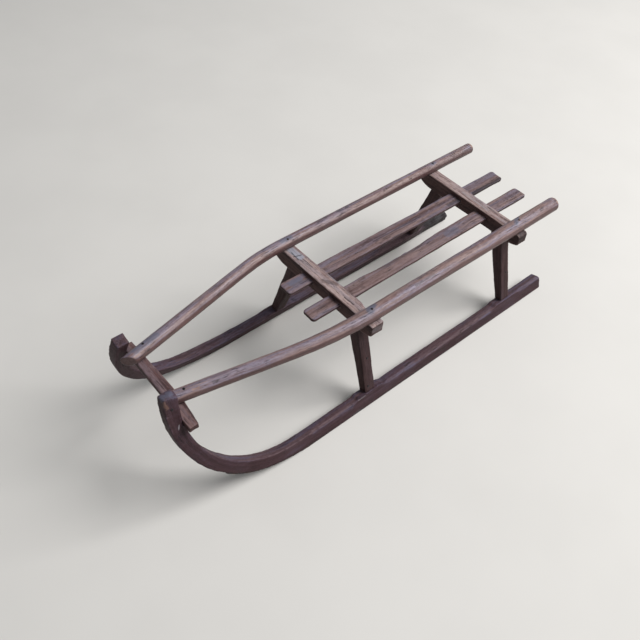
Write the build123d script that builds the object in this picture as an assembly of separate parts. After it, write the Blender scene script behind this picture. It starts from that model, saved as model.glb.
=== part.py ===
import os
from collections import namedtuple
from math import asin, atan2, cos, degrees, radians, sin, sqrt

from build123d import *

os.makedirs("parts", exist_ok=True)

# Old hand-made wooden sled. +X points to the curled front, +Y to the left side, +Z up.
# The floor is at zero and the middle of the length and width is the origin. Millimetres.

# Whole sled
LENGTH = 1057.0        # rear end of the right rail to the foremost point of the left curl
SOLE_HALF = 165.5      # middle of each sole from the centre line
CANT = 17.0            # inward lean of the side frames, degrees
FRONT_OVER = 459.5     # front crossbeam's middle behind the foremost point
REAR_OVER = 139.0      # rear crossbeam's middle ahead of the rearmost point
FIT = 0.15             # clearance on each side of a tenon, mortise or notch

# Runners, measured in their leaning plane
RUNNER_W = 24.0        # thickness
RUNNER_H = 30.0        # height of the top above the floor line
REAR_RISE = 3.0        # extra height behind the rear posts
REAR_SHORT = 2.0       # runners end ahead of the right rail's end
REAR_ROUND = 6.0       # rounding of the runners' upper rear corners
PAD_RISE = 4.0         # raised pads under the posts
PAD_LEN = 66.0         # level part of a pad
PAD_SLOPE = 9.0        # length of the slope at each end of a pad
LEAD_R = 600.0         # gentle lift before the curl
TIP_H = 303.0          # top of the tip above the floor line
SOLE_PLANED = 1.5      # least depth planed off to level the sole
CHAMFER = 5.5          # stop chamfers on the outer upper edges
CHAMFER_RUN = 14.0     # length of the run-out of a chamfer
CHAMFER_LIP = 0.2      # the cut starts this far above the edge

# Curls of the two runners, which were bent by hand and differ.
# back: set behind the foremost point, radius: front of the curl, lift: of the sole before the curl,
# rise: of the upper side before the curl, tip: depth of the tip, front to back
Curl = namedtuple("Curl", "back radius lift rise tip")
CURLS = {
    "left": Curl(back=0.0, radius=252.0, lift=7.0, rise=1.0, tip=29.0),
    "right": Curl(back=4.5, radius=245.0, lift=18.0, rise=9.0, tip=24.5),
}

# Iron shoes
SHOE_T = 3.0
SHOE_W = 20.0
SHOE_END = 42.0        # how far the shoe follows the curl, degrees

# Crossbeams
BEAM_TOP = 240.0
BEAM_H = 36.0
FRONT_BEAM_T = 33.0
REAR_BEAM_T = 30.0
BEAM_HALF = 151.0      # centre line to the right ends
FRONT_BEAM_OVER = 3.0  # the left ends reach further out
REAR_BEAM_OVER = 7.0
BEAM_RISE = 34.0       # length of the rising underside at the right ends
BEAM_END_H = 27.0      # depth at the ends
BEAM_EASE = 2.5        # rounding of the long upper edges
BEAM_CROWN = 4.0       # rounding of the upper end edges
BEAM_KNOB = 9.0        # rounding of the rear crossbeam's left end

# Posts
POST_X = 28.0          # along the sled
POST_INSET = 2.5       # outer face behind the outer face of the runner
POST_FOOT_W = 20.0     # thickness at the runner
POST_TOP_W = 31.0      # thickness at the crossbeam
TENON_X = 15.0
TENON_W = 11.0
TENON_TOP_L = 22.0
TENON_FOOT_L = 20.0

# Rails, two poles of unlike thickness. Sideways places are from the centre line.
# short: rear end ahead of the rearmost point, rear_y: at the rear end,
# bend_back, front_back: corner of the bend and front end behind the foremost point,
# bend_y, front_y: the same two places, bend_r: radius of the bend,
# r_rear, r_bend, r_bow, r_front: radius at the rear, before the bend, after it and at the front
Rail = namedtuple(
    "Rail", "short rear_y bend_back bend_y bend_r front_back front_y r_rear r_bend r_bow r_front"
)
RAILS = {
    "left": Rail(
        short=5.5, rear_y=135.3, bend_back=364.5, bend_y=130.6, bend_r=1000.0, front_back=31.5, front_y=61.5,
        r_rear=16.3, r_bend=15.9, r_bow=13.7, r_front=13.3
    ),
    "right": Rail(
        short=0.0, rear_y=134.8, bend_back=387.5, bend_y=134.8, bend_r=500.0, front_back=30.5, front_y=58.7,
        r_rear=13.0, r_bend=13.4, r_bow=13.4, r_front=13.2
    ),
}
RAIL_UP = 10.1         # middle of the rails above the crossbeams
RAIL_EASE = 1.5        # rounding of the rail ends

# Slats
SLAT_T = 8.0
SLAT_W = 36.0
SLAT_DROP = 12.0       # top of the slats below the top of the crossbeams
SLAT_CORNER = 7.0

# front_y, rear_y: centre at the two crossbeams, front, rear: reach beyond the crossbeams' middles
Slat = namedtuple("Slat", "front_y rear_y front rear")
SLATS = {
    "slat_left": Slat(front_y=42.0, rear_y=42.0, front=88.0, rear=135.0),
    "slat_right": Slat(front_y=-43.7, rear_y=-37.5, front=79.0, rear=138.5),
}

# Front bar
BAR_W = 24.0           # width in the middle
BAR_T = 13.5
BAR_TOP = 238.0
BAR_AFT = 55.3         # aft edge behind the foremost point of the curl
BAR_SKEW = 2.0         # slant of the front edge, degrees
BAR_LEFT = 128.0       # end of the stub
BAR_RIGHT = 106.0
BAR_TAPER_Y = 66.0     # the stub tapers from here
BAR_TAPER = 9.0        # width lost at the aft edge of the stub

# Derived places
cant = radians(CANT)
front_x = LENGTH / 2
rear_x = -LENGTH / 2
front_beam_x = front_x - FRONT_OVER
rear_beam_x = rear_x + REAR_OVER
beam_spacing = front_beam_x - rear_beam_x
beam_flat = BEAM_HALF - BEAM_RISE
beam_under = BEAM_TOP - BEAM_H
rail_z = BEAM_TOP + RAIL_UP
slat_z = BEAM_TOP - SLAT_DROP - SLAT_T / 2
runner_rear = rear_x + REAR_SHORT
sole_v = (SHOE_T - RUNNER_W / 2 * sin(cant)) / cos(cant) - SOLE_PLANED
pad_v = RUNNER_H + PAD_RISE
pad_half = PAD_LEN / 2 + PAD_SLOPE
rear_v = RUNNER_H + REAR_RISE
post_outer = POST_INSET - RUNNER_W / 2
bar_aft = front_x - BAR_AFT
bar_z = BAR_TOP - BAR_T / 2
big = 3 * LENGTH

# Leaning plane of the left side frame: local x along the sled, local y up the frame, local z inward.
side = Plane(origin=(0, SOLE_HALF, 0), x_dir=(1, 0, 0), z_dir=(0, -cos(cant), -sin(cant)))


def in_side(solid):
    """Places a solid drawn in the leaning plane."""
    return side.location * solid


def below(z):
    """Everything below a level."""
    return Pos(0, 0, z - big / 2) * Box(big, big, big)


def above(z):
    """Everything above a level."""
    return Pos(0, 0, z + big / 2) * Box(big, big, big)


def arc_point(u, v, radius, angle):
    """Point of an arc, the angle counted from straight down towards the front."""
    return (u + radius * sin(radians(angle)), v - radius * cos(radians(angle)))


def arc(u, v, radius, start, end):
    """Arc in the leaning plane between two angles."""
    middle = (start + end) / 2
    return ThreePointArc(*[arc_point(u, v, radius, angle) for angle in (start, middle, end)])


def slab(lines, width):
    """Closed outline in the leaning plane, given a thickness about its middle."""
    return extrude(make_face(lines), amount=width / 2, both=True)


def mirrored(solid):
    """The same piece for the right side."""
    return mirror(solid, about=Plane.XZ)


def pad_outline(u):
    """Upper outline of a raised pad, from front to back."""
    return [(u + pad_half, RUNNER_H), (u + PAD_LEN / 2, pad_v), (u - PAD_LEN / 2, pad_v)]


def lead_in(radius, lead_r, lift):
    """Length and angle of the gentle arc that lifts a level line to the foot of a curl."""
    length = sqrt(lift * (2 * (lead_r - radius) - lift))
    return length, degrees(asin(length / (lead_r - radius)))


def curl_line(u, v, radius, level, lead_r, end):
    """Lead-in and curl from a level line up to an angle, with the place where it leaves that line."""
    length, angle = lead_in(radius, lead_r, v - radius - level)
    lead = arc(u - length, level + lead_r, lead_r, 0, angle)
    return lead, arc(u, v, radius, angle, end), u - length


def curl_middle(curl):
    """Centre of the front of a curl."""
    return front_x - curl.back - curl.radius, sole_v + curl.lift + curl.radius


def curl_inside(curl):
    """Centre and radius of the inner side of a curl."""
    v = curl_middle(curl)[1]
    radius = v - RUNNER_H - curl.rise
    return front_x - curl.back - curl.tip - radius, v, radius


def tip_angle(v, radius):
    """Angle at which a curl reaches the height of the tip."""
    return 90 + degrees(asin((TIP_H - v) / radius))


def runner_slab(curl):
    """The runner in its own plane, before its joints are cut, and the foot of its curl's inner side."""
    u, v = curl_middle(curl)
    inner_u, inner_v, inner_r = curl_inside(curl)
    end, inner_end = tip_angle(v, curl.radius), tip_angle(inner_v, inner_r)
    lead, front, lead_u = curl_line(u, v, curl.radius, sole_v, LEAD_R, end)
    rise, inside, rise_u = curl_line(inner_u, inner_v, inner_r, RUNNER_H, LEAD_R - RUNNER_H, inner_end)
    upper = [
        (rise_u, RUNNER_H),
        *pad_outline(front_beam_x),
        (front_beam_x - pad_half, RUNNER_H),
        *pad_outline(rear_beam_x),
        (rear_beam_x - pad_half, rear_v),
        (runner_rear + REAR_ROUND, rear_v),
    ]
    corner = RadiusArc((runner_rear + REAR_ROUND, rear_v), (runner_rear, rear_v - REAR_ROUND), -REAR_ROUND)
    sole = Polyline((runner_rear, rear_v - REAR_ROUND), (runner_rear, sole_v), (lead_u, sole_v))
    tip = Line(arc_point(u, v, curl.radius, end), arc_point(inner_u, inner_v, inner_r, inner_end))
    return slab([lead, front, tip, inside, rise, Polyline(*upper), corner, sole], RUNNER_W), rise_u


def stop_chamfer(u0, u1, v):
    """Cutter for a chamfer with run-outs on the outer upper edge of the runner."""
    depth = CHAMFER / sqrt(2)
    edge = Plane(origin=(0, v, -RUNNER_W / 2), x_dir=(1, 0, 0), z_dir=(0, 1, 1))
    outline = Polyline(
        (u0, CHAMFER_LIP), (u0 + CHAMFER_RUN, -depth), (u1 - CHAMFER_RUN, -depth), (u1, CHAMFER_LIP),
        (u1, CHAMFER), (u0, CHAMFER), close=True
    )
    return edge.location * extrude(make_face(outline), amount=2 * CHAMFER, both=True)


def foot_tenon(u, gap):
    """Tenon of a post in the runner, or its mortise when a gap is given."""
    length = TENON_FOOT_L + gap + PAD_RISE
    block = Box(TENON_X + 2 * gap, length, TENON_W + 2 * gap)
    return Pos(u, pad_v + PAD_RISE - length / 2, 0) * block


def top_tenon(u, gap):
    """Tenon of a post in the crossbeam, or its mortise when a gap is given."""
    shoulder = beam_under / cos(cant)
    start = shoulder - TENON_TOP_L
    length = 2 * TENON_TOP_L + gap
    block = Box(TENON_X + 2 * gap, length, TENON_W + 2 * gap)
    return Pos(u, start + length / 2, post_outer + POST_TOP_W / 2) * block


def post(u):
    """Post of the left side frame, standing on its pad and carrying the crossbeam."""
    top_v = beam_under / cos(cant)
    slope = (POST_TOP_W - POST_FOOT_W) / (top_v - pad_v)
    over = top_v + POST_TOP_W
    outline = Polyline(
        (pad_v, post_outer), (over, post_outer),
        (over, post_outer + POST_FOOT_W + slope * (over - pad_v)), (pad_v, post_outer + POST_FOOT_W),
        close=True
    )
    section = Plane(origin=(u, 0, 0), x_dir=(0, 1, 0), z_dir=(1, 0, 0))
    shaft = extrude(section * make_face(outline), amount=POST_X / 2, both=True)
    shaft = in_side(shaft) - above(beam_under)
    return shaft + in_side(foot_tenon(u, 0)) + in_side(top_tenon(u, 0))


def rail(pole):
    """Round rail, nearly straight at the rear, turned inward and thinner at the front."""
    corners = [
        (rear_x + pole.short, pole.rear_y, rail_z),
        (front_x - pole.bend_back, pole.bend_y, rail_z),
        (front_x - pole.front_back, pole.front_y, rail_z),
    ]
    path = FilletPolyline(*corners, radius=pole.bend_r)
    radii = (pole.r_rear, pole.r_bend, pole.r_bow, pole.r_front)
    runs = []
    for line, start, end in zip(path.edges().sort_by(Axis.X), radii, radii[1:]):
        sections = [
            Plane(origin=line @ place, z_dir=line % place) * Circle(radius)
            for place, radius in ((0, start), (1, end))
        ]
        runs.append(sweep(sections, path=line, multisection=True))
    bar = runs[0] + runs[1:]
    ends = bar.faces().filter_by(GeomType.PLANE)
    return fillet(ends.edges(), RAIL_EASE)


def slat(board):
    """Seat board, laid a little askew when its two centres differ."""
    slope = (board.front_y - board.rear_y) / beam_spacing
    front_end = front_beam_x + board.front
    rear_end = rear_beam_x - board.rear
    middle = (front_end + rear_end) / 2
    blank = Box(front_end - rear_end, SLAT_W, SLAT_T)
    blank = fillet(blank.edges().filter_by(Axis.Z), SLAT_CORNER)
    centre = board.rear_y + slope * (middle - rear_beam_x)
    return Pos(middle, centre, slat_z) * Rot(0, 0, degrees(atan2(slope, 1))) * blank


def slat_mortise(board):
    """Long box that cuts the mortises of a slat."""
    turn = degrees(atan2(board.front_y - board.rear_y, beam_spacing))
    middle = (front_beam_x + rear_beam_x) / 2
    block = Box(2 * LENGTH, SLAT_W + 2 * FIT, SLAT_T + 2 * FIT)
    return Pos(middle, (board.front_y + board.rear_y) / 2, slat_z) * Rot(0, 0, turn) * block


def beam_end(reach, crown):
    """Outline of one end of a crossbeam, from the level underside up to the level top."""
    end_z = BEAM_TOP - BEAM_END_H
    rise = end_z - beam_under
    run = reach - beam_flat
    radius = (run * run + rise * rise) / (2 * rise)
    bend = arc_point(beam_flat, beam_under + radius, radius, degrees(atan2(run, radius - rise)) / 2)
    return [
        ThreePointArc((beam_flat, beam_under), bend, (reach, end_z)),
        Line((reach, end_z), (reach, BEAM_TOP - crown)),
        RadiusArc((reach, BEAM_TOP - crown), (reach - crown, BEAM_TOP), -crown),
    ]


def beam(x, thickness, over, crown):
    """Crossbeam with level middle and rising underside at its ends, before its joints are cut."""
    left = beam_end(BEAM_HALF + over, crown)
    right = [mirror(line, about=Plane.YZ) for line in beam_end(BEAM_HALF, BEAM_CROWN)]
    lines = [
        Line((-beam_flat, beam_under), (beam_flat, beam_under)),
        *left,
        Line((BEAM_HALF + over - crown, BEAM_TOP), (BEAM_CROWN - BEAM_HALF, BEAM_TOP)),
        *right,
    ]
    section = Plane(origin=(x, 0, 0), x_dir=(0, 1, 0), z_dir=(1, 0, 0))
    solid = extrude(section * make_face(lines), amount=thickness / 2, both=True)
    top = solid.faces().sort_by(Axis.Z)[-1]
    return fillet(top.edges().filter_by(Axis.Y), BEAM_EASE)


def bar_solid(gap):
    """Front bar, narrower to the right, or the cutter for its notch in a tip when a gap is given."""
    slope = sin(radians(BAR_SKEW))
    front = bar_aft + BAR_W
    outline = Polyline(
        (front - slope * BAR_RIGHT, -BAR_RIGHT), (front + slope * BAR_LEFT, BAR_LEFT),
        (bar_aft + BAR_TAPER, BAR_LEFT), (bar_aft, BAR_TAPER_Y), (bar_aft, -BAR_RIGHT), close=True
    )
    return Pos(0, 0, bar_z) * extrude(make_face(outline), amount=BAR_T / 2 + gap, both=True)


def runner(curl):
    """Runner of the left side with the given curl, with mortises, stop chamfers and level sole."""
    blank, rise_u = runner_slab(curl)
    for place in (front_beam_x, rear_beam_x):
        blank -= foot_tenon(place, FIT)
    chamfers = [  # rear end, front end, height of the edge
        (runner_rear - 2 * CHAMFER_RUN, rear_beam_x - pad_half, rear_v),
        (rear_beam_x + pad_half, front_beam_x - pad_half, RUNNER_H),
        (front_beam_x + pad_half, rise_u, RUNNER_H),
    ]
    for rear_end, front_end, height in chamfers:
        blank -= stop_chamfer(rear_end, front_end, height)
    return in_side(blank) - below(SHOE_T)


def shoe(curl):
    """Iron strip under the runner of the left side with the given curl."""
    u, v = curl_middle(curl)
    low, high = sole_v - SHOE_T, sole_v + 2 * SHOE_T
    lead, front, lead_u = curl_line(u, v, curl.radius + SHOE_T, low, LEAD_R + SHOE_T, SHOE_END)
    top_lead, top, top_u = curl_line(u, v, curl.radius - 2 * SHOE_T, high, LEAD_R - 2 * SHOE_T, SHOE_END)
    nose = Line(
        arc_point(u, v, curl.radius + SHOE_T, SHOE_END), arc_point(u, v, curl.radius - 2 * SHOE_T, SHOE_END)
    )
    back = Polyline((top_u, high), (runner_rear, high), (runner_rear, low), (lead_u, low))
    return in_side(slab([lead, front, nose, top, top_lead, back], SHOE_W)) - below(0)


# Front bar
front_bar = bar_solid(0)

# Runners and their shoes. The bar is let into the left tip.
runner_left = runner(CURLS["left"]) - bar_solid(FIT)
runner_right = mirrored(runner(CURLS["right"])) - bar_solid(FIT)
shoe_left = shoe(CURLS["left"]) - runner_left
shoe_right = mirrored(shoe(CURLS["right"])) - runner_right

# Rails, flattened where they lie on the front bar
bar_seat = Pos(bar_aft + big / 2, 0, 0) * below(BAR_TOP)
rail_left = rail(RAILS["left"]) - bar_seat
rail_right = mirrored(rail(RAILS["right"])) - bar_seat

# Crossbeams
beams = {}
for name, place, thickness, over, crown in (
    ("crossbeam_front", front_beam_x, FRONT_BEAM_T, FRONT_BEAM_OVER, BEAM_CROWN),
    ("crossbeam_rear", rear_beam_x, REAR_BEAM_T, REAR_BEAM_OVER, BEAM_KNOB),
):
    solid = beam(place, thickness, over, crown)
    mortise = in_side(top_tenon(place, FIT))
    solid -= mortise
    solid -= mirrored(mortise)
    solid -= rail_left
    solid -= rail_right
    for board in SLATS.values():
        solid -= slat_mortise(board)
    beams[name] = solid

pieces = {
    "runner_left": runner_left,
    "runner_right": runner_right,
    "shoe_left": shoe_left,
    "shoe_right": shoe_right,
    "rail_left": rail_left,
    "rail_right": rail_right,
    "front_bar": front_bar,
    **beams,
}
for end, place in (("front", front_beam_x), ("rear", rear_beam_x)):
    left = post(place)
    pieces[f"post_{end}_left"] = left
    pieces[f"post_{end}_right"] = mirrored(left)
for name, board in SLATS.items():
    pieces[name] = slat(board)

for name, solid in pieces.items():
    export_step(solid, f"parts/{name}.step")
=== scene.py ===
"""Old hand-made wooden sled: worn timbers, iron shoes and nails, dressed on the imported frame."""

import math
from collections import namedtuple
from contextlib import contextmanager

import bmesh
import bpy
import numpy as np
from bpy.props import FloatProperty, FloatVectorProperty, PointerProperty
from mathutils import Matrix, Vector, kdtree


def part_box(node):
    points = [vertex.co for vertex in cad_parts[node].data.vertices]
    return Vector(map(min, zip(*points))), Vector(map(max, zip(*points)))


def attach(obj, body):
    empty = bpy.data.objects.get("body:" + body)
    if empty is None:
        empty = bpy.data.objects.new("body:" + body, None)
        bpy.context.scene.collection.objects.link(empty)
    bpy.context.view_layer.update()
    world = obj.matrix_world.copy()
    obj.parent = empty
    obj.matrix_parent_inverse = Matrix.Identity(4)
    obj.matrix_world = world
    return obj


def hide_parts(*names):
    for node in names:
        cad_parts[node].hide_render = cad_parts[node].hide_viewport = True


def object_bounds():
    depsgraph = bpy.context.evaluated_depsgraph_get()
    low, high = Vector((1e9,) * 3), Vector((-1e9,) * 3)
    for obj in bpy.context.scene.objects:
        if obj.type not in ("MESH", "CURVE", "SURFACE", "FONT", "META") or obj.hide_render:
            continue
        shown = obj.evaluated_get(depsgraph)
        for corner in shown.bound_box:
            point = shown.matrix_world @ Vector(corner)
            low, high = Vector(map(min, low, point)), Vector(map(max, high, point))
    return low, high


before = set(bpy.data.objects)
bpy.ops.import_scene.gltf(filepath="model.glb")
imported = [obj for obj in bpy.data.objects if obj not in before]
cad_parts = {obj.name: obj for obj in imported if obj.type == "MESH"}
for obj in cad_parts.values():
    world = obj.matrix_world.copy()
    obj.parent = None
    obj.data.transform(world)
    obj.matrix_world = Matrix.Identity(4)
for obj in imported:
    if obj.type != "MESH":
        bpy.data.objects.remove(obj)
FRAME_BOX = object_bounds()
SIDES = (("left", 1), ("right", -1))
ENDS = ("front", "rear")

bl_info = {
    "name": "Old Wooden Sled",
    "version": (1, 1, 0),
    "blender": (4, 5, 0),
    "location": "View3D > Sidebar > Sled",
    "description": "Models the worn timbers, iron shoes and nails of an old sled",
    "category": "Object",
}


# Sizes and colours

def length(name, description, default):
    """A length in metres."""
    return FloatProperty(name=name, description=description, default=default, unit="LENGTH", precision=4)


def turn(name, description, degrees):
    """An angle."""
    return FloatProperty(name=name, description=description, default=math.radians(degrees), subtype="ANGLE")


def point(name, description, default):
    """A place on the sled, in metres."""
    return FloatVectorProperty(
        name=name, description=description, default=default, subtype="TRANSLATION", precision=4
    )


def colour(name, description, default):
    """A linear colour."""
    return FloatVectorProperty(
        name=name, description=description, default=default, subtype="COLOR", min=0, max=1
    )


class SledSizes(bpy.types.PropertyGroup):
    """Sizes of the pieces that are shaped here."""

    cant: turn("Lean", "Inward lean of the side frames", 17)
    curl_r: length("Curl radius", "Front of the curl of the runners", 0.25)
    tip_out: length("Tip", "Middle of the left tip from the middle of the sled", 0.0885)
    rail_up: length("Rail height", "Middle of the rails above the floor", 0.2501)
    rail_ease: length("Rail end", "Rounding of the rail ends", 0.0015)
    slat_width: length("Slat width", "Width of a seat board", 0.036)
    slat_askew: turn("Slat askew", "How far the right board lies off the line", -0.775)
    slat_corner: length("Slat corner", "Rounding of the board corners", 0.007)
    wane_r: length("Wane radius", "Radius of the long hollow of the wane", 0.97)
    bar_skew: length("Bar skew", "How far the front edge of the bar falls back to the right", 0.0082)
    bar_stub: length("Bar stub", "Where the free end of the front bar begins to taper", 0.066)
    bar_taper: length("Bar taper", "How much narrower the free end is", 0.009)
    nail_r: length("Nail head", "Radius of a nail head", 0.0029)
    nail_h: length("Nail height", "How far a nail head stands out", 0.001)
    nail_shank: length("Nail shank", "Length of a nail below its head", 0.006)
    nail_start: length("Nail start", "How far above a timber a nail starts from", 0.04)


class SledWear(bpy.types.PropertyGroup):
    """How far the timbers are worn."""

    grid: length("Carving grid", "Spacing of the points that a worn timber is carved on", 0.0016)
    iron_grid: length("Iron grid", "Spacing of the points of the iron shoes", 0.0013)
    arris: length("Arris", "Rounding of the worn edges", 0.0008)
    reach: length("Edge reach", "How far the rubbing of an edge spreads", 0.005)
    wobble: length("Wobble", "Unevenness from hand work", 0.0007)
    dents: length("Dents", "Depth of dents and grain hollows", 0.0005)
    nicks: length("Nicks", "Depth of the nicks along the edges", 0.004)
    rot: length("Rot", "Depth of the rot at the rear of the right runner", 0.005)
    rot_full: length("Rot length", "How far the rot reaches from the rear end in full depth", 0.04)
    rot_fade: length("Rot fade", "Over what length the rot then fades out", 0.11)
    hammering: length("Hammering", "Unevenness of the hammered iron", 0.0004)


class SledColours(bpy.types.PropertyGroup):
    """Colours of the timbers, the iron and the floor."""

    # Dark tint used for dirt in pores and cracks, and also as painted shade on the right seat board in front
    # of the rear crossbeam
    soot: colour("Soot", "Dirt in pores, cracks and hollows", (0.012, 0.007, 0.008))
    stain: colour("Iron stain", "Blue-grey stain round the nails", (0.108, 0.112, 0.158))
    rubbed: colour("Rubbed wood", "Pale scratches and rubbed places", (0.27, 0.25, 0.27))
    bloom: colour("Bloom", "Blue-white bloom on the front crossbeam", (0.30, 0.32, 0.38))
    bare: colour("Bare wood", "Fresh wood in a chip", (0.36, 0.205, 0.135))
    rot: colour("Rot", "Grey rotten wood", (0.075, 0.07, 0.075))
    iron: colour("Iron", "Dark iron", (0.03, 0.026, 0.028))
    rust: colour("Rust", "Old rust", (0.075, 0.036, 0.026))
    floor: colour("Floor", "Pale studio floor", (0.62, 0.60, 0.57))
    sky: colour("Sky", "Even light round the sled", (0.92, 0.96, 1.0))


class SledStage(bpy.types.PropertyGroup):
    """Camera and lamps."""

    eye: point("Camera place", "Where the camera stands", (0.8921, 0.8095, 1.3703))
    aim: FloatVectorProperty(
        name="Camera turn", description="How the camera is turned", subtype="EULER",
        default=(math.radians(42.544), math.radians(-3.821), math.radians(139.037)),
    )
    lens: FloatProperty(name="Lens", description="Focal length in millimetres", default=43.5)
    sensor: FloatProperty(name="Sensor", description="Width of the sensor in millimetres", default=36)
    sky: FloatProperty(name="Sky", description="Strength of the even light", default=0.27)
    key: FloatProperty(
        name="Key lamp", description="Power of the large soft lamp", default=480, unit="POWER"
    )
    key_place: point("Key place", "Where the large soft lamp hangs", (-2.9, 2.3, 4.6))
    key_aim: point("Key aim", "Where the large soft lamp points", (0, 0, 0.1))
    key_size: length("Key size", "Side of the large soft lamp", 4.0)
    floor_side: length("Floor side", "Side of the floor", 14.0)


# Working on one piece

# Points closer than this are merged, and faces that meet at less than this angle are one face
MERGE, FLAT = 1e-6, math.radians(0.5)


def pick(piece):
    """Makes a piece the only one selected."""
    bpy.ops.object.select_all(action="DESELECT")
    piece.select_set(True)
    bpy.context.view_layer.objects.active = piece


@contextmanager
def editing(piece, mode="EDGE"):
    """Edit mode on one piece, with nothing selected in it."""
    pick(piece)
    bpy.ops.object.mode_set(mode="EDIT")
    bpy.ops.mesh.select_mode(type=mode)
    bpy.ops.mesh.select_all(action="DESELECT")
    yield
    bpy.ops.object.mode_set(mode="OBJECT")


def choose(kind, test):
    """Selects the vertices, edges or faces of the edited piece that pass a test."""
    mesh = bpy.context.edit_object.data
    shape = bmesh.from_edit_mesh(mesh)
    bpy.ops.mesh.select_all(action="DESELECT")
    for element in getattr(shape, kind):
        element.select_set(bool(test(element)))
    shape.select_flush_mode()
    bmesh.update_edit_mesh(mesh)


def middle(edge):
    """Middle of an edge."""
    return (edge.verts[0].co + edge.verts[1].co) / 2


def runs_along(edge, axis):
    """True for an edge that runs along an axis, numbered 0 to 2."""
    line = (edge.verts[1].co - edge.verts[0].co).normalized()
    return abs(line[axis]) > 0.95


def bisect(place, normal):
    """Cuts everything in the edited piece on a plane."""
    bpy.ops.mesh.select_all(action="SELECT")
    bpy.ops.mesh.bisect(plane_co=place, plane_no=normal)


def new_piece(name):
    """Names the primitive just added and puts its place into its mesh."""
    piece = bpy.context.object
    piece.name = name
    bpy.ops.object.transform_apply(location=True, rotation=True, scale=True)
    return piece


def blank(node, name):
    """The sawn blank of a frame node: its own mesh, merged and freed of flat triangles."""
    piece = bpy.data.objects.new(name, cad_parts[node].data.copy())
    bpy.context.collection.objects.link(piece)
    piece.data.materials.clear()
    with editing(piece):
        bpy.ops.mesh.select_all(action="SELECT")
        bpy.ops.mesh.customdata_custom_splitnormals_clear()
        bpy.ops.mesh.remove_doubles(threshold=MERGE)
        bpy.ops.mesh.dissolve_limited(angle_limit=FLAT)
    return piece


def finish_with(piece, kind, **settings):
    """Adds a modifier, sets it and applies it."""
    pick(piece)
    bpy.ops.object.modifier_add(type=kind)
    modifier = piece.modifiers[-1]
    for name, value in settings.items():
        setattr(modifier, name, value)
    bpy.ops.object.modifier_apply(modifier=modifier.name)


def carve(piece, tool):
    """Takes the shape of a tool out of a piece."""
    finish_with(piece, "BOOLEAN", object=tool, operation="DIFFERENCE", solver="EXACT")
    bpy.data.objects.remove(tool)


# place: a point of the fresh face, facing: where that face looks, size: the block taken off above it
Chip = namedtuple("Chip", "place facing size")


def chop(piece, chip):
    """Chops a chip off a piece."""
    facing = Vector(chip.facing).normalized()
    bpy.ops.object.select_all(action="DESELECT")
    bpy.ops.mesh.primitive_cube_add(size=1, location=Vector(chip.place) + facing * (chip.size[2] / 2))
    tool = bpy.context.object
    tool.scale = chip.size
    tool.rotation_euler = facing.to_track_quat("Z", "Y").to_euler()
    carve(piece, new_piece("chopper"))


def hollow(piece, place, facing, along, radius, width, facets=360):
    """Hollows a piece with a wide drum that lies along a direction and touches a place."""
    centre = Vector(place) + Vector(facing).normalized() * radius
    bpy.ops.object.select_all(action="DESELECT")
    bpy.ops.mesh.primitive_cylinder_add(vertices=facets, radius=radius, depth=width, location=centre)
    bpy.context.object.rotation_euler = Vector(along).to_track_quat("Z", "Y").to_euler()
    carve(piece, new_piece("drum"))


def points_of(piece):
    """Places of all vertices as rows of an array."""
    places = np.empty(len(piece.data.vertices) * 3, np.float32)
    piece.data.vertices.foreach_get("co", places)
    return places.reshape(-1, 3)


def mark(piece, name, kind, values):
    """Stores a value for each vertex, for the material to read."""
    field = {"FLOAT": "value", "FLOAT_VECTOR": "vector"}[kind]
    layer = piece.data.attributes.new(name, kind, "POINT")
    layer.data.foreach_set(field, np.asarray(values, np.float32).ravel())


def weights(piece, name, values):
    """A vertex group with a weight for each vertex."""
    group = piece.vertex_groups.new(name=name)
    for index in np.nonzero(values > 0)[0]:
        group.add([int(index)], float(values[index]), "REPLACE")
    return name


# Wear

# Least angle between the two faces of a sharp edge
SHARP = math.radians(35)
# How far dents and hollows are drawn out along x, y and z
LENGTHWISE, CROSSWISE, UPRIGHT = (0.5, 0.1, 0.1), (0.1, 0.5, 0.1), (0.1, 0.1, 0.5)
# Number that sets the dents and the grain of the first timber of each kind
FIRST_SEED = {"runner": 1, "post": 3, "beam": 9, "rail": 13, "slat": 17, "bar": 21}
# Where in their noise the dents lie, and the step of dents and grain from one seed to the next
DENT_START, DENT_STEP = Vector((0.31, 0.17, 0.07)), Vector((0.37, 0.11, 0.23))
GRAIN_STEP = np.array((0.83, 0.31, 0.17))


def sharp_lines(piece, spacing):
    """Search tree of points along all sharp edges of a piece, and how many there are."""
    shape = bmesh.new()
    shape.from_mesh(piece.data)
    found = []
    for edge in shape.edges:
        if len(edge.link_faces) == 2 and edge.calc_face_angle() > SHARP:
            start, end = (vertex.co.copy() for vertex in edge.verts)
            count = max(2, int((end - start).length / spacing) + 1)
            found += [start.lerp(end, step / (count - 1)) for step in range(count)]
    shape.free()
    tree = kdtree.KDTree(len(found))
    for index, place in enumerate(found):
        tree.insert(place, index)
    tree.balance()
    return tree, len(found)


def edge_share(lines, places, reach):
    """How close each place is to a sharp edge: 1 on it, 0 beyond a reach."""
    tree, count = lines
    if not count:
        return np.zeros(len(places))
    distance = np.array([tree.find(place)[2] for place in places])
    return np.clip(1 - distance / reach, 0, 1)


def cloud(name, scale, depth=2, contrast=1.0):
    """A noise for a Displace modifier."""
    texture = bpy.data.textures.new(name, "CLOUDS")
    texture.noise_scale = scale
    texture.noise_depth = depth
    texture.contrast = contrast
    texture.noise_basis = "IMPROVED_PERLIN"
    return texture


def grain_guide(stretch, seed):
    """An empty whose scale stretches a noise along the grain."""
    bpy.ops.object.empty_add(location=DENT_START + DENT_STEP * seed)
    bpy.context.object.scale = stretch
    return bpy.context.object


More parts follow.
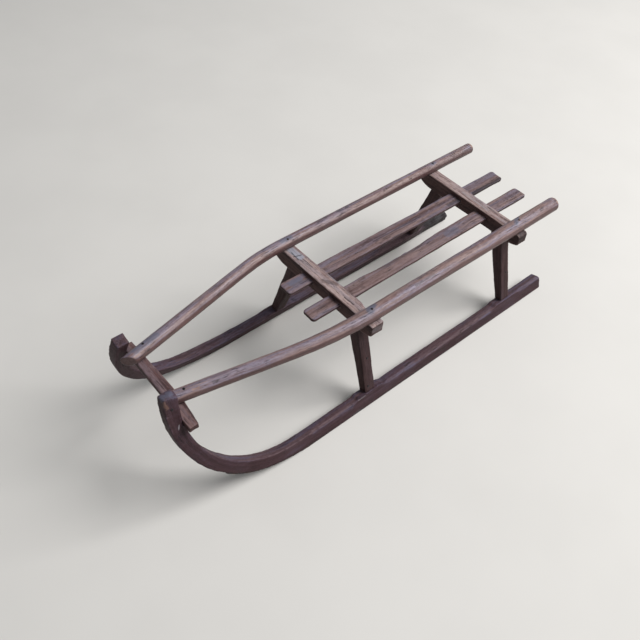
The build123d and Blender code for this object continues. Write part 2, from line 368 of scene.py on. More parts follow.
def wear(piece, stretch, seed, rot=None, fine=1.0):
    """Rounds the edges of a timber and gives its faces the unevenness of hand work and long use."""
    amount = bpy.context.scene.sled_wear
    lines = sharp_lines(piece, amount.reach / 2)
    with editing(piece):
        bpy.ops.mesh.edges_select_sharp(sharpness=SHARP)
        bpy.ops.mesh.bevel(offset=amount.arris, segments=2, affect="EDGES", clamp_overlap=True)
    finish_with(piece, "REMESH", mode="VOXEL", voxel_size=amount.grid * fine, use_smooth_shade=True)
    finish_with(piece, "SMOOTH", factor=0.5, iterations=1)
    places = points_of(piece)
    arris = edge_share(lines, places, amount.reach)
    guide = grain_guide(stretch, seed)
    common = {"texture_coords": "OBJECT", "texture_coords_object": guide}
    worked = cloud("hand_work", scale=0.6)
    dented = cloud("dents", scale=0.1, depth=3)
    nicked = cloud("nicks", scale=0.16)
    finish_with(piece, "DISPLACE", texture=worked, strength=amount.wobble * 2, **common)
    finish_with(piece, "DISPLACE", texture=dented, strength=amount.dents * 2, **common)
    finish_with(
        piece, "DISPLACE", texture=nicked, strength=amount.nicks, mid_level=0.6,
        vertex_group=weights(piece, "arris", arris), **common,
    )
    if rot is not None:
        share = rot(places)
        rotted = cloud("decay", scale=0.09, depth=4, contrast=1.4)
        finish_with(
            piece, "DISPLACE", texture=rotted, strength=amount.rot, mid_level=1.1,
            vertex_group=weights(piece, "rot", share), **common,
        )
        mark(piece, "decay", "FLOAT", share)
    bpy.data.objects.remove(guide)
    piece.vertex_groups.clear()
    mark(piece, "arris", "FLOAT", arris)
    return places


def lay_grain(piece, places, seed):
    """Stores each point's place along, across and through the timber."""
    mark(piece, "grain", "FLOAT_VECTOR", places + GRAIN_STEP * seed)


def along_curl(places, side):
    """Places along, across and through a runner, following its curl."""
    sizes = bpy.context.scene.sled_sizes
    slope = math.tan(sizes.cant)
    height = places[:, 2] / math.cos(sizes.cant)
    through = side * places[:, 1] + slope * places[:, 2]
    centre_x = FRAME_BOX[1].x - sizes.curl_r
    ahead = places[:, 0] - centre_x
    down = sizes.curl_r - height
    angle = np.clip(np.arctan2(ahead, np.maximum(down, MERGE)), 0, math.pi / 2)
    straight = np.minimum(ahead, 0) + np.maximum(-down, 0)
    across = np.where(ahead < 0, down, np.hypot(ahead, np.maximum(down, 0)))
    return np.stack((centre_x + straight + sizes.curl_r * angle, across, through), axis=1)


def dress(piece, material, slot, *nodes):
    """Gives a finished piece its material and its place in the frame."""
    piece.data.materials.clear()
    piece.data.materials.append(material)
    pick(piece)
    bpy.ops.object.shade_smooth()
    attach(piece, "root")
    if nodes:
        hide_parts(*nodes)


# Materials

class Socket:
    """A node's output that takes part in arithmetic."""

    def __init__(self, finish, output):
        self.finish = finish
        self.output = output

    def maths(self, operation, first, second):
        return self.finish.node("ShaderNodeMath", {"operation": operation}, {0: first, 1: second})

    def __add__(self, other):
        return self.maths("ADD", self, other)

    __radd__ = __add__

    def __sub__(self, other):
        return self.maths("SUBTRACT", self, other)

    def __rsub__(self, other):
        return self.maths("SUBTRACT", other, self)

    def __mul__(self, other):
        return self.maths("MULTIPLY", self, other)

    __rmul__ = __mul__

    def __abs__(self):
        return self.maths("ABSOLUTE", self, 0.0)

    def ramp(self, low, high):
        """Smooth step from 0 at low to 1 at high."""
        return self.finish.node(
            "ShaderNodeMapRange", {"interpolation_type": "SMOOTHSTEP"},
            {"Value": self, "From Min": low, "From Max": high},
        )


class Finish:
    """A material and the one way its nodes are made."""

    def __init__(self, name):
        self.material = bpy.data.materials.new(name)
        self.material.use_nodes = True
        self.tree = self.material.node_tree
        self.surface = self.tree.nodes["Principled BSDF"]

    def node(self, kind, settings=None, sockets=None, out=0):
        """Adds a node, sets it, feeds its sockets and returns one output."""
        made = self.tree.nodes.new(kind)
        for name, value in (settings or {}).items():
            setattr(made, name, value)
        for name, value in (sockets or {}).items():
            self.feed(made, name, value)
        if isinstance(out, str):
            found = [socket for socket in made.outputs if out in (socket.identifier, socket.name)]
            return Socket(self, found[0])
        return Socket(self, made.outputs[out])

    def feed(self, made, name, value):
        """Sets or links one input, found by its number, identifier or name."""
        if isinstance(name, int):
            target = made.inputs[name]
        else:
            target = [socket for socket in made.inputs if name in (socket.identifier, socket.name)][0]
        if isinstance(value, Socket):
            self.tree.links.new(value.output, target)
        elif isinstance(value, (int, float)):
            target.default_value = value
        else:
            target.default_value = (*value, 1.0) if target.type == "RGBA" else value

    def blend(self, mask, below, above):
        """One colour over another."""
        return self.node(
            "ShaderNodeMix", {"data_type": "RGBA"},
            {"Factor_Float": mask, "A_Color": below, "B_Color": above}, "Result_Color",
        )

    def vectors(self, operation, first, second, out=0):
        """Arithmetic of two vectors."""
        return self.node("ShaderNodeVectorMath", {"operation": operation}, {0: first, 1: second}, out)

    def noise(self, vector, scale, detail=3.0, rough=0.55, out=0):
        """Noise from 0 to 1, scaled axis by axis."""
        return self.node(
            "ShaderNodeTexNoise", {"noise_dimensions": "3D"},
            {
                "Vector": self.vectors("MULTIPLY", vector, scale),
                "Scale": 1.0, "Detail": detail, "Roughness": rough,
            },
            out,
        )

    def attribute(self, name, out):
        """A value stored on the mesh."""
        return self.node("ShaderNodeAttribute", {"attribute_name": name}, None, out)

    def warp(self, place, scale, amount):
        """A place shifted about by noise, so that what is drawn there gets ragged edges."""
        push = self.noise(place, (scale, scale, scale), 3, 0.6, "Color")
        push = self.vectors("SUBTRACT", push, (0.5, 0.5, 0.5))
        return self.vectors("ADD", place, self.vectors("MULTIPLY", push, (amount, amount, amount)))

    def beside(self, place, start, end):
        """Distance of a place from a straight line between two points."""
        line = Vector(end) - Vector(start)
        offset = self.vectors("SUBTRACT", place, start)
        share = self.vectors("DOT_PRODUCT", offset, line / line.length_squared, "Value")
        share = self.node("ShaderNodeClamp", None, {"Value": share})
        foot = self.node("ShaderNodeVectorMath", {"operation": "SCALE"}, {0: line, "Scale": share})
        return self.vectors("DISTANCE", offset, foot, "Value")

    def close(self, base, roughness, height, depth):
        """Feeds the surface with its colour, roughness and relief."""
        relief = self.node("ShaderNodeBump", None, {"Height": height, "Distance": depth, "Strength": 1.0})
        self.feed(self.surface, "Base Color", base)
        self.feed(self.surface, "Roughness", roughness)
        self.feed(self.surface, "Normal", relief)
        return self.material


# tint: one of the sled's colours, start and end: the line it lies along,
# width: its half width, strength: how far it covers the wood
Mark = namedtuple("Mark", "tint start end width strength")
THIN_MARK = 0.004  # up to this half width a mark has a calmer edge
# dark: side faces, painted darker than the tops as painted shade, and hollows; mid: fibres; pale and the
# bluish sheen tone: tops and edges, painted pale partly as rubbing and partly as painted top light and a
# painted bluish sky reflection
Tones = namedtuple("Tones", "dark mid pale cool")
# Depth of the grain in the wood and of the pits in the iron
GRAIN_DEPTH, PIT_DEPTH = 0.0012, 0.0006


class Timber(Finish):
    """Weathered wood, with painted top light and painted shade on its sides. The scales of its noises are
    along, across and through the grain.
    """

    def __init__(self, name, tones):
        super().__init__(name)
        self.tones = tones
        self.colours = bpy.context.scene.sled_colours
        self.place = self.node("ShaderNodeTexCoord", None, None, "Object")
        grain = self.attribute("grain", "Vector")
        waved = self.warp(grain, 14, 0.006)
        self.streaks = self.noise(waved, (9, 240, 240), 3, 0.6)
        self.broad = self.noise(waved, (3, 70, 70), 3)
        self.fine = self.noise(grain, (22, 800, 800), 3, 0.65)
        self.hue = self.noise(waved, (4, 90, 90), 2)
        self.fleck = self.noise(grain, (120, 330, 330), 2, 0.5)
        self.blotch = self.noise(self.place, (34, 34, 34), 5, 0.62)
        self.patch = self.noise(self.place, (8, 8, 8), 3)
        self.pores = self.noise(grain, (70, 1500, 1500), 2).ramp(0.6, 0.72)
        split = self.noise(waved, (5, 300, 300), 1)
        self.seam = (1 - abs(split - 0.5)).ramp(0.974, 0.994) * self.blotch.ramp(0.45, 0.6)
        self.tone = self.streaks * 0.4 + self.broad * 0.25 + self.fine * 0.15 + self.blotch * 0.2

    def weathered_and_lit(self, rubbed, ends):
        """Colour of the wood: sides painted dark as painted shade, tops and edges painted pale partly as
        rubbing and partly as painted top light and painted highlights, dirt in seams and pores.
        """
        tones = self.tones
        normal = self.node("ShaderNodeNewGeometry", None, None, "Normal")
        up = self.node("ShaderNodeSeparateXYZ", None, {"Vector": normal}, "Z")
        fore = self.node("ShaderNodeSeparateXYZ", None, {"Vector": normal}, "X")
        arris = self.attribute("arris", "Fac")

        # Pale tone mixed with the bluish tone, which stands for a painted sky reflection on the wood
        pale = self.blend((self.hue * 0.7 + self.patch * 0.3).ramp(0.43, 0.57), tones.pale, tones.cool)
        # Side faces take the dark tones and up-facing tops the pale ones: painted shade on the sides and
        # painted top light on the tops, over some real rubbing of the tops
        side = self.blend(self.tone.ramp(0.38, 0.63) * 0.75, tones.dark, tones.mid)
        top = self.blend(self.tone.ramp(0.36, 0.58), tones.mid, pale)
        # Mask of the up-facing faces that get the pale tones: partly rubbed wear, partly painted top light
        worn = (up + (self.patch - 0.5) * 0.6).ramp(0.2, 0.8) * rubbed
        # Pale edges: partly rubbed wear, partly painted highlights along the arrises
        edges = arris.ramp(0.3, 0.95) * self.blotch.ramp(0.38, 0.62)
        bands = (1 - self.broad.ramp(0.28, 0.42)) * self.streaks.ramp(0.35, 0.55)
        layers = (
            (edges * rubbed * 0.6, pale),
            (bands * 0.7, tones.dark),
            (self.fleck.ramp(0.58, 0.68) * worn * 0.6, pale),
            ((1 - self.fleck.ramp(0.32, 0.42)) * 0.35, tones.dark),
            (self.seam * 0.75, self.colours.soot),
            (self.pores * 0.4, self.colours.soot),
            (abs(fore).ramp(0.7, 0.9) * ends, tones.dark),
        )
        base = self.blend(worn, side, top)
        for mask, tint in layers:
            base = self.blend(mask, base, tint)
        return base

    def marked(self, base, marks):
        """Stains, chips and scratches over the wood."""
        ragged = self.warp(self.place, 160, 0.009)
        calm = self.warp(self.place, 90, 0.003)
        for row in marks:
            gap = self.beside(ragged if row.width > THIN_MARK else calm, row.start, row.end)
            spot = (1 - gap.ramp(row.width * 0.4, row.width)) * (0.75 + self.streaks.ramp(0.4, 0.6) * 0.25)
            base = self.blend(spot * row.strength, base, getattr(self.colours, row.tint))
        return base

    def rotted(self, base):
        """Grey rot over the wood, where the mesh is marked as decayed."""
        decay = self.attribute("decay", "Fac")
        crumbs = (self.tone * 0.6 + self.blotch * 0.5).ramp(0.5, 0.72)
        grey = self.blend(crumbs, self.colours.soot, self.colours.rot)
        return self.blend((decay + self.blotch * 0.8 - 0.4).ramp(0.1, 0.65), base, grey)

    def finished(self, base, gloss, sheen):
        """The finished material, with the relief of the grain."""
        raised = self.streaks * 0.4 + self.fine * 0.35 + self.broad * 0.2 + self.blotch * 0.25
        sunk = self.pores * 0.4 + self.seam * 0.6
        self.feed(self.surface, "Specular IOR Level", sheen)
        roughness = gloss + self.fine * 0.25 + self.pores * 0.15
        return self.close(base, roughness, raised - sunk, GRAIN_DEPTH)


def timber(name, tones, rubbed, gloss, marks=(), ends=0.0, sheen=0.25, decay=False):
    """The wood of one kind of piece: how pale its tops are painted, as rubbing and as painted top light, how
    dark its ends are, what marks it.
    """
    wood = Timber(name, tones)
    base = wood.marked(wood.weathered_and_lit(rubbed, ends), marks)
    if decay:
        base = wood.rotted(base)
    return wood.finished(base, gloss, sheen)


def iron(name, rusting):
    """Dark wrought iron with old rust."""
    colours = bpy.context.scene.sled_colours
    finish = Finish(name)
    place = finish.node("ShaderNodeTexCoord", None, None, "Object")
    scale = finish.noise(place, (110, 110, 110), 5, 0.65)
    bloom = finish.noise(place, (24, 24, 24), 4)
    pits = finish.noise(place, (420, 420, 420), 3)
    rust = (bloom * 0.6 + scale * 0.4).ramp(0.62 - rusting * 0.3, 0.78 - rusting * 0.3)
    base = finish.blend(rust, colours.iron, colours.rust)
    base = finish.blend(pits.ramp(0.6, 0.75) * 0.5, base, colours.soot)
    finish.feed(finish.surface, "Metallic", 0.75 - rust * 0.75)
    return finish.close(base, 0.42 + rust * 0.4, scale * 0.6 + pits * 0.4, PIT_DEPTH)


# Pieces

def rotten_rear(places):
    """How rotten each point of the right runner is, from its rear end forward."""
    amount = bpy.context.scene.sled_wear
    rear = FRAME_BOX[0].x
    share = np.clip(1 - (places[:, 0] - rear - amount.rot_full) / amount.rot_fade, 0, 1)
    return share * share * (3 - 2 * share)


class SLED_OT_runners(bpy.types.Operator):
    """Shapes the two runners: a chipped tip on the left, a rotten rear end on the right"""

    bl_idname = "sled.runners"
    bl_label = "Runners"

    def execute(self, context):
        tip = Vector((FRAME_BOX[1].x, context.scene.sled_sizes.tip_out, FRAME_BOX[1].z))
        tip_top = tip + Vector((-0.022, -0.010, 0)), tip + Vector((-0.006, -0.012, 0))
        tip_chip = tip + Vector((-0.003, 0.0, -0.005)), tip + Vector((-0.008, 0.004, -0.019))
        marks = (
            Mark("stain", *tip_top, 0.012, 0.7),
            Mark("bare", *tip_chip, 0.005, 0.33),
            Mark("rubbed", (0.509, 0.108, 0.232), (0.513, 0.108, 0.222), 0.0022, 0.8),
            Mark("rubbed", (0.086, 0.168, 0.034), (0.106, 0.168, 0.033), 0.0018, 0.4),
        )
        tones = Tones(
            dark=(0.028, 0.0105, 0.013), mid=(0.068, 0.031, 0.038),
            pale=(0.115, 0.072, 0.080), cool=(0.096, 0.080, 0.122),
        )
        material = timber("runner_wood", tones, rubbed=0.8, gloss=0.5, marks=marks, decay=True)
        for seed, (hand, side) in enumerate(SIDES, FIRST_SEED["runner"]):
            node = f"runner_{hand}"
            piece = blank(node, f"{node}_worn")
            for chip in self.damage(tip)[hand]:
                chop(piece, chip)
            if hand == "right":
                places = wear(piece, LENGTHWISE, seed, rotten_rear)
            else:
                places = wear(piece, LENGTHWISE, seed)
                mark(piece, "decay", "FLOAT", np.zeros(len(places)))
            lay_grain(piece, along_curl(places, side), seed)
            dress(piece, material, "runner_wood", node)
        return {"FINISHED"}

    def damage(self, tip):
        """What is broken off: corner and top of the left tip, a lower edge, the top of the right rear end."""
        return {
            "left": (
                Chip(tip + Vector((-0.0035, 0, -0.006)), (0.8, 0.75, 0.28), (0.06, 0.06, 0.03)),
                Chip(tip + Vector((-0.0165, 0, -0.001)), (-0.33, 0, 0.94), (0.08, 0.08, 0.03)),
                Chip((0.1145, 0.1752, 0.0048), (0, 0.8, -0.6), (0.034, 0.04, 0.02)),
            ),
            "right": (Chip((-0.471, -0.142, 0.030), (-0.15, 0.62, 0.77), (0.16, 0.16, 0.05)),),
        }


class SLED_OT_shoes(bpy.types.Operator):
    """Shapes the iron strips under the runners"""

    bl_idname = "sled.shoes"
    bl_label = "Iron shoes"

    def execute(self, context):
        amount = context.scene.sled_wear
        blows = cloud("hammering", scale=0.02)
        material = iron("shoe_iron", rusting=0.5)
        for hand, _ in SIDES:
            node = f"shoe_{hand}"
            piece = blank(node, f"{node}_worn")
            finish_with(piece, "REMESH", mode="VOXEL", voxel_size=amount.iron_grid, use_smooth_shade=True)
            finish_with(piece, "SMOOTH", factor=0.5, iterations=2)
            finish_with(piece, "DISPLACE", texture=blows, strength=amount.hammering, mid_level=0.9)
            dress(piece, material, "shoe_iron", node)
        return {"FINISHED"}


class SLED_OT_posts(bpy.types.Operator):
    """Shapes the four posts from their blanks"""

    bl_idname = "sled.posts"
    bl_label = "Posts"

    def execute(self, context):
        lean = context.scene.sled_sizes.cant
        tones = Tones(
            dark=(0.022, 0.008, 0.008), mid=(0.072, 0.034, 0.034),
            pale=(0.140, 0.085, 0.082), cool=(0.112, 0.088, 0.110),
        )
        material = timber("post_wood", tones, rubbed=0.6, gloss=0.55)
        for row, end in enumerate(ENDS):
            for hand, side in SIDES:
                node = f"post_{end}_{hand}"
                seed = FIRST_SEED["post"] + 2 * row + side
                piece = blank(node, f"{node}_worn")
                places = wear(piece, UPRIGHT, seed)
                up = places[:, 2] * math.cos(lean) - side * places[:, 1] * math.sin(lean)
                out = side * places[:, 1] * math.cos(lean) + places[:, 2] * math.sin(lean)
                lay_grain(piece, np.stack((up, out, places[:, 0]), axis=1), seed)
                dress(piece, material, "post_wood", node)
        return {"FINISHED"}


class SLED_OT_crossbeams(bpy.types.Operator):
    """Shapes the two crossbeams, the front one cracked and broken at its rear edge"""

    bl_idname = "sled.crossbeams"
    bl_label = "Crossbeams"

    def execute(self, context):
        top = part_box("crossbeam_front")[1].z
        marks = (
            Mark("bloom", (0.067, -0.090, top), (0.069, -0.120, top), 0.0115, 0.8),
            Mark("soot", (0.076, -0.006, top), (0.061, 0.017, top), 0.008, 0.55),
            Mark("rubbed", (0.054, -0.015, top), (0.054, 0.029, top), 0.003, 0.7),
            Mark("soot", (0.0718, 0.057, top), (0.0709, 0.083, top), 0.0022, 0.9),
            Mark("rubbed", (-0.390, -0.03, top), (-0.388, 0.05, top), 0.004, 0.5),
            Mark("soot", (-0.390, 0.150, top - 0.003), (-0.390, 0.172, top - 0.012), 0.022, 0.8),
            Mark("rubbed", (0.062, 0.156, top - 0.014), (0.076, 0.156, top - 0.012), 0.012, 0.3),
            Mark("soot", (0.062, -0.094, top), (0.078, -0.099, top), 0.002, 0.8),
            Mark("soot", (0.076, -0.086, top), (0.074, -0.112, top), 0.002, 0.8),
        )
        tones = Tones(
            dark=(0.026, 0.010, 0.010), mid=(0.120, 0.062, 0.056),
            pale=(0.400, 0.300, 0.280), cool=(0.330, 0.265, 0.275),
        )
        material = timber("beam_wood", tones, rubbed=0.95, gloss=0.55, marks=marks)
        crack = Chip((0.0714, 0.0698, top - 0.006), (0, 0.02, 1), (0.0024, 0.021, 0.03))
        broken_edge = Chip((0.0569, 0.0993, top - 0.003), (-0.6, 0.35, 0.72), (0.022, 0.022, 0.02))
        damage = {"front": (crack, broken_edge), "rear": ()}
        for seed, end in enumerate(ENDS, FIRST_SEED["beam"]):
            node = f"crossbeam_{end}"
            piece = blank(node, f"{node}_worn")
            for chip in damage[end]:
                chop(piece, chip)
            places = wear(piece, CROSSWISE, seed, fine=0.8)
            lay_grain(piece, places[:, (1, 0, 2)], seed)
            dress(piece, material, "beam_wood", node)
        return {"FINISHED"}


# Middle of each rail from its rear end forward: x, distance from the middle of the sled, radius
Station = namedtuple("Station", "x y r")
RAIL_STATIONS = {
    "left": (
        Station(-0.5230, 0.1353, 0.01630), Station(-0.3600, 0.1342, 0.01660),
        Station(-0.2000, 0.1331, 0.01610), Station(0.0000, 0.1318, 0.01580),
        Station(0.0650, 0.1313, 0.01590), Station(0.1140, 0.1297, 0.01540),
        Station(0.1640, 0.1257, 0.01480), Station(0.2130, 0.1192, 0.01425),
        Station(0.2610, 0.1105, 0.01370), Station(0.3800, 0.0858, 0.01350),
        Station(0.4970, 0.0615, 0.01330),
    ),
    "right": (
        Station(-0.5285, 0.1348, 0.01300), Station(-0.3000, 0.1350, 0.01280),
        Station(-0.1000, 0.1347, 0.01300), Station(0.0883, 0.1348, 0.01340),
        Station(0.1145, 0.1341, 0.01340), Station(0.1410, 0.1320, 0.01340),
        Station(0.1670, 0.1285, 0.01340), Station(0.1925, 0.1238, 0.01340),
        Station(0.3450, 0.0913, 0.01330), Station(0.5240, 0.0532, 0.01320),
    ),
}
RAIL_FACETS = 12
# How much wider a ring of straight facets is than the round that it stands for
FACET_SWELL = 1.02
# The faces meet at more than this only round the ends of a rail
RAIL_RIM = math.radians(60)


class SLED_OT_rails(bpy.types.Operator):
    """Draws out the two round rails from the rear to the front, the right one cut off slanting"""

    bl_idname = "sled.rails"
    bl_label = "Rails"

    def execute(self, context):
        height = context.scene.sled_sizes.rail_up
        top = height + RAIL_STATIONS["right"][0].r
        marks = (
            Mark("stain", (0.061, 0.124, top), (0.075, 0.131, top), 0.0125, 0.95),
            Mark("stain", (-0.394, 0.126, top), (-0.374, 0.138, top), 0.008, 0.9),
            Mark("soot", (0.411, 0.088, top), (0.419, 0.086, top), 0.005, 0.8),
            Mark("bare", (0.446, 0.080, top), (0.458, 0.077, top), 0.0045, 0.55),
            Mark("soot", (-0.105, 0.137, top), (-0.050, 0.137, top), 0.004, 0.6),
            Mark("stain", (0.062, -0.134, top), (0.084, -0.134, top), 0.009, 0.75),
            Mark("stain", (-0.394, -0.134, top), (-0.386, -0.134, top), 0.007, 0.8),
            Mark("stain", (0.440, -0.071, top), (0.490, -0.061, top), 0.010, 0.75),
            Mark("bare", (-0.521, 0.128, top + 0.002), (-0.521, 0.146, top - 0.002), 0.0045, 0.7),
            Mark("bare", (-0.527, -0.136, top), (-0.526, -0.126, top - 0.003), 0.004, 0.7),
        )
        tones = Tones(
            dark=(0.058, 0.024, 0.024), mid=(0.150, 0.078, 0.072),
            pale=(0.265, 0.178, 0.165), cool=(0.225, 0.192, 0.250),
        )
        material = timber("rail_wood", tones, rubbed=0.9, gloss=0.33, marks=marks, ends=0.7, sheen=0.5)
        slanting_end = Chip((0.5095, -0.0568, height), (0.67, 0.743, 0), (0.12, 0.12, 0.06))
        for seed, (hand, side) in enumerate(SIDES, FIRST_SEED["rail"]):
            node = f"rail_{hand}"
            stations = RAIL_STATIONS[hand]
            piece = self.pole(context.scene.sled_sizes, f"{node}_worn", side, stations, height)
            if hand == "right":
                chop(piece, slanting_end)
            places = wear(piece, LENGTHWISE, seed)
            along, out, up = places.T
            out = out - side * np.interp(along, [row.x for row in stations], [row.y for row in stations])
            lay_grain(piece, np.stack((along, out, up), axis=1), seed)
            dress(piece, material, "rail_wood", node)
        return {"FINISHED"}

    def pole(self, sizes, name, side, stations, height):
        """One rail through its stations, each ring square to the way the rail runs there."""
        bpy.ops.object.select_all(action="DESELECT")
        rear = stations[0]
        bpy.ops.mesh.primitive_circle_add(
            vertices=RAIL_FACETS, radius=rear.r * FACET_SWELL, fill_type="NGON",
            location=(rear.x, side * rear.y, height), rotation=(0, math.pi / 2, 0),
        )
        piece = new_piece(name)
        headings = [
            math.atan2(side * (after.y - before.y), after.x - before.x)
            for before, after in zip(stations, stations[1:])
        ]
        headings.append(headings[-1])
        turned = 0.0
        with editing(piece, "FACE"):
            bpy.ops.mesh.select_all(action="SELECT")
            for before, after, start, end in zip(stations, stations[1:], headings, headings[1:]):
                step = (after.x - before.x, side * (after.y - before.y), 0)
                here = (after.x, side * after.y, height)
                square = (start + end) / 2
                share = after.r / before.r
                bpy.ops.mesh.extrude_region_move(TRANSFORM_OT_translate={"value": step})
                bpy.ops.transform.resize(value=(share, share, share), center_override=here)
                bpy.ops.transform.rotate(value=turned - square, orient_axis="Z", center_override=here)
                turned = square
            bpy.ops.mesh.select_all(action="SELECT")
            bpy.ops.mesh.normals_make_consistent(inside=False)
        with editing(piece):
            choose("edges", lambda edge: edge.calc_face_angle(0) > RAIL_RIM)
            bpy.ops.mesh.bevel(offset=sizes.rail_ease, segments=4, affect="EDGES")
        return piece


class SLED_OT_slats(bpy.types.Operator):
    """Planes the two seat boards, the left with a wane on its inner edge, the right a little askew"""

    bl_idname = "sled.slats"
    bl_label = "Seat boards"

    def execute(self, context):
        sizes = context.scene.sled_sizes
        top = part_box("slat_left")[1].z
        marks = (
            Mark("stain", (0.105, -0.047, top), (0.125, -0.047, top), 0.012, 0.8),
            # Painted shade: a dark band on the right board just in front of the rear crossbeam, where the
            # beam shades it
            Mark("soot", (-0.380, -0.026, top), (-0.340, -0.027, top), 0.009, 0.6),
            Mark("stain", (-0.288, 0.044, top), (-0.258, 0.044, top), 0.012, 0.65),
            # A dark band painted along the near edge of the right board behind the rear crossbeam
            Mark("soot", (-0.530, -0.019, top), (-0.425, -0.021, top), 0.009, 0.8),
            Mark("soot", (-0.255, -0.038, top), (-0.105, -0.041, top), 0.0022, 0.6),
            Mark("soot", (-0.235, -0.033, top), (-0.130, -0.035, top), 0.0018, 0.5),
        )
        tones = Tones(
            dark=(0.042, 0.020, 0.020), mid=(0.112, 0.062, 0.060),
            pale=(0.225, 0.155, 0.150), cool=(0.180, 0.150, 0.190),
        )
        material = timber("slat_wood", tones, rubbed=0.95, gloss=0.5, marks=marks, ends=0.7)
        askew = {"left": 0.0, "right": sizes.slat_askew}
        for seed, (hand, _) in enumerate(SIDES, FIRST_SEED["slat"]):
            node = f"slat_{hand}"
            low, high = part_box(node)
            bpy.ops.object.select_all(action="DESELECT")
            bpy.ops.mesh.primitive_cube_add(
                size=1, location=(low + high) / 2, rotation=(0, 0, askew[hand]),
                scale=(high.x - low.x, sizes.slat_width, high.z - low.z),
            )
            piece = new_piece(f"{node}_worn")
            with editing(piece):
                choose("edges", lambda edge: runs_along(edge, 2))
                bpy.ops.mesh.bevel(offset=sizes.slat_corner, segments=4, affect="EDGES")
            if hand == "left":
                hollow(
                    piece, place=(-0.12, 0.0305, top - 0.004), facing=(0, -0.524, 0.852),
                    along=(0, -0.852, -0.524), radius=sizes.wane_r, width=0.06,
                )
            places = wear(piece, LENGTHWISE, seed)
            lay_grain(piece, places, seed)
            dress(piece, material, "slat_wood", node)
        return {"FINISHED"}


# Points closer than this lie on the same face
NEAR = 1e-4


class SLED_OT_front_bar(bpy.types.Operator):
    """Shapes the flat bar behind the tips, skewed, its left end a free tapered stub"""

    bl_idname = "sled.front_bar"
    bl_label = "Front bar"

    def execute(self, context):
        sizes = context.scene.sled_sizes
        low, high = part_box("front_bar")
        tones = Tones(
            dark=(0.032, 0.013, 0.013), mid=(0.125, 0.062, 0.058),
            pale=(0.205, 0.130, 0.125), cool=(0.170, 0.125, 0.140),
        )
        material = timber("bar_wood", tones, rubbed=0.85, gloss=0.5)
        bpy.ops.object.select_all(action="DESELECT")
        bpy.ops.mesh.primitive_cube_add(size=1, location=(low + high) / 2, scale=high - low)
        piece = new_piece("front_bar_worn")
        with editing(piece, "VERT"):
            choose("verts", lambda vertex: vertex.co.y < low.y + NEAR and vertex.co.x > high.x - NEAR)
            bpy.ops.transform.translate(value=(-sizes.bar_skew, 0, 0))
            bisect((0, sizes.bar_stub, 0), (0, 1, 0))
            choose("verts", lambda vertex: vertex.co.y > high.y - NEAR and vertex.co.x < low.x + NEAR)
            bpy.ops.transform.translate(value=(sizes.bar_taper, 0, 0))
        places = wear(piece, CROSSWISE, FIRST_SEED["bar"], fine=0.8)
        lay_grain(piece, places[:, (1, 0, 2)], FIRST_SEED["bar"])
        dress(piece, material, "bar_wood", "front_bar")
        return {"FINISHED"}


# timber: the piece it is driven into, x, y and z: where on the left side, repeated on the right
Nail = namedtuple("Nail", "timber x y z")
TOP_NAILS = (
    Nail("rail", 0.0690, 0.1313, 0.2640), Nail("rail", -0.3895, 0.1344, 0.2640),
    Nail("rail", 0.4700, 0.0668, 0.2640),
)
SIDE_NAILS = (
    Nail("runner", 0.5137, 0.0960, 0.2690), Nail("post_front", 0.0669, 0.1386, 0.1193),
    Nail("post_front", 0.0733, 0.1599, 0.0494), Nail("post_rear", -0.3945, 0.1425, 0.1066),
)
# The faces meet at more than this only round the rim of a nail head
NAIL_RIM = math.radians(50)


class SLED_OT_nails(bpy.types.Operator):
    """Forges one nail head and drives copies of it in where the timbers are nailed"""

    bl_idname = "sled.nails"
    bl_label = "Nails"

    def execute(self, context):
        sizes = context.scene.sled_sizes
        outward = Vector((0, math.cos(sizes.cant), math.sin(sizes.cant)))
        head = self.forge(sizes)
        pieces = []
        for table, facing in ((TOP_NAILS, Vector((0, 0, 1))), (SIDE_NAILS, outward)):
            for nail in table:
                for hand, side in SIDES:
                    mirror = Vector((1, side, 1))
                    into = bpy.data.objects[f"{nail.timber}_{hand}_worn"]
                    aim = Vector((nail.x, nail.y, nail.z)) * mirror
                    pieces.append(self.drive(head, into, aim, facing * mirror, sizes.nail_start))
        bpy.data.objects.remove(head)
        pick(pieces[0])
        for piece in pieces:
            piece.select_set(True)
        bpy.ops.object.join()
        nails = context.object
        nails.name = "nail_heads"
        dress(nails, iron("nail_iron", rusting=0.35), "shoe_iron")
        return {"FINISHED"}

    def forge(self, sizes):
        """A low hammered head on a short shank, pointing up at the origin."""
        crown = sizes.nail_r * 0.35
        dome = sizes.nail_h * 0.4
        shoulder = sizes.nail_r * 0.55
        bpy.ops.object.select_all(action="DESELECT")
        bpy.ops.mesh.primitive_cylinder_add(vertices=9, radius=sizes.nail_r, depth=sizes.nail_h)
        head = new_piece("nail_head")
        with editing(head, "FACE"):
            choose("faces", lambda face: face.normal.z > 0.9)
            bpy.ops.mesh.inset(thickness=crown, depth=dome)
            choose("faces", lambda face: face.normal.z < -0.9)
            bpy.ops.mesh.inset(thickness=shoulder)
            bpy.ops.mesh.extrude_region_move(TRANSFORM_OT_translate={"value": (0, 0, -sizes.nail_shank)})
        with editing(head):
            choose("edges", lambda edge: edge.calc_face_angle(0) > NAIL_RIM and middle(edge).z > 0)
            bpy.ops.mesh.bevel(offset=sizes.nail_h * 0.3, segments=2, affect="EDGES")
        return head

    def drive(self, head, into, aim, facing, start):
        """A copy of the nail head, driven in where a line through the aim meets the timber."""
        met, place, _, _ = into.ray_cast(aim + facing * start, -facing)
        if not met:
            raise RuntimeError(f"A nail misses {into.name}")
        copy = head.copy()
        copy.data = head.data.copy()
        bpy.context.collection.objects.link(copy)
        turned = facing.to_track_quat("Z", "X").to_matrix().to_4x4()
        turned.translation = place
        copy.data.transform(turned)
        return copy


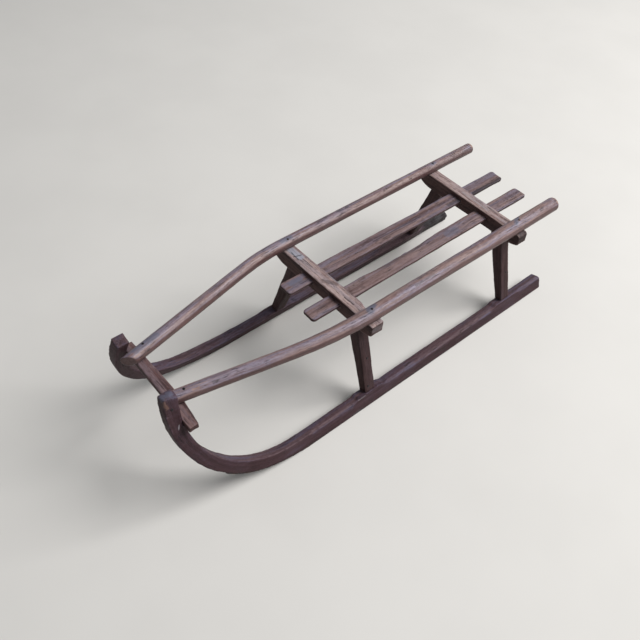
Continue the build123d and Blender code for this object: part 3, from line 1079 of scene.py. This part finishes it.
class SLED_OT_stage(bpy.types.Operator):
    """Sets the pale floor, the soft lamp, the sky and the camera"""

    bl_idname = "sled.stage"
    bl_label = "Stage"

    def execute(self, context):
        stage = context.scene.sled_stage
        colours = context.scene.sled_colours
        self.floor(stage, colours.floor)
        self.light(context.scene, stage, colours.sky)
        bpy.ops.object.camera_add(location=stage.eye, rotation=stage.aim)
        camera = context.object
        camera.data.sensor_width = stage.sensor
        camera.data.lens = stage.lens
        context.scene.camera = camera
        context.scene.view_settings.view_transform = "Standard"
        return {"FINISHED"}

    def floor(self, stage, tint):
        """A wide pale floor, very slightly mottled."""
        bpy.ops.object.select_all(action="DESELECT")
        bpy.ops.mesh.primitive_plane_add(size=stage.floor_side)
        floor = new_piece("floor")
        finish = Finish("floor_paint")
        place = finish.node("ShaderNodeTexCoord", None, None, "Object")
        shade = finish.noise(place, (3, 3, 3), 3)
        darker = [part * 0.965 for part in tint]
        base = finish.blend(shade.ramp(0.3, 0.7), tint, darker)
        floor.data.materials.append(finish.close(base, 0.85, shade, 0.0005))

    def light(self, scene, stage, tint):
        """A large soft lamp from behind on the left and an even sky."""
        bpy.ops.object.light_add(type="AREA", location=stage.key_place)
        lamp = bpy.context.object
        lamp.data.size = stage.key_size
        lamp.data.energy = stage.key
        lamp.rotation_euler = (stage.key_aim - stage.key_place).to_track_quat("-Z", "Y").to_euler()
        scene.world = bpy.data.worlds.new("studio_sky")
        scene.world.use_nodes = True
        sky = scene.world.node_tree.nodes["Background"]
        sky.inputs["Color"].default_value = (*tint, 1.0)
        sky.inputs["Strength"].default_value = stage.sky


STEPS = (
    SLED_OT_runners, SLED_OT_shoes, SLED_OT_posts, SLED_OT_crossbeams, SLED_OT_rails,
    SLED_OT_slats, SLED_OT_front_bar, SLED_OT_nails, SLED_OT_stage,
)


class SLED_PT_panel(bpy.types.Panel):
    """Lists the steps of building the sled"""

    bl_idname = "SLED_PT_panel"
    bl_label = "Old Wooden Sled"
    bl_space_type = "VIEW_3D"
    bl_region_type = "UI"
    bl_category = "Sled"

    def draw(self, context):
        for step in STEPS:
            self.layout.operator(step.bl_idname)
        for group in GROUPS:
            settings = getattr(context.scene, group)
            box = self.layout.box()
            for name in settings.__annotations__:
                box.prop(settings, name)


GROUPS = {
    "sled_sizes": SledSizes,
    "sled_wear": SledWear,
    "sled_colours": SledColours,
    "sled_stage": SledStage,
}
CLASSES = (*GROUPS.values(), *STEPS, SLED_PT_panel)


def register():
    """Adds the groups of sizes, the steps and the panel."""
    for made in CLASSES:
        bpy.utils.register_class(made)
    for name, group in GROUPS.items():
        setattr(bpy.types.Scene, name, PointerProperty(type=group))


def unregister():
    """Takes everything out again."""
    for name in GROUPS:
        delattr(bpy.types.Scene, name)
    for made in reversed(CLASSES):
        bpy.utils.unregister_class(made)


def main():
    """Builds the sled step by step."""
    register()
    for step in STEPS:
        family, name = step.bl_idname.split(".")
        getattr(getattr(bpy.ops, family), name)()


if __name__ == "__main__":
    main()
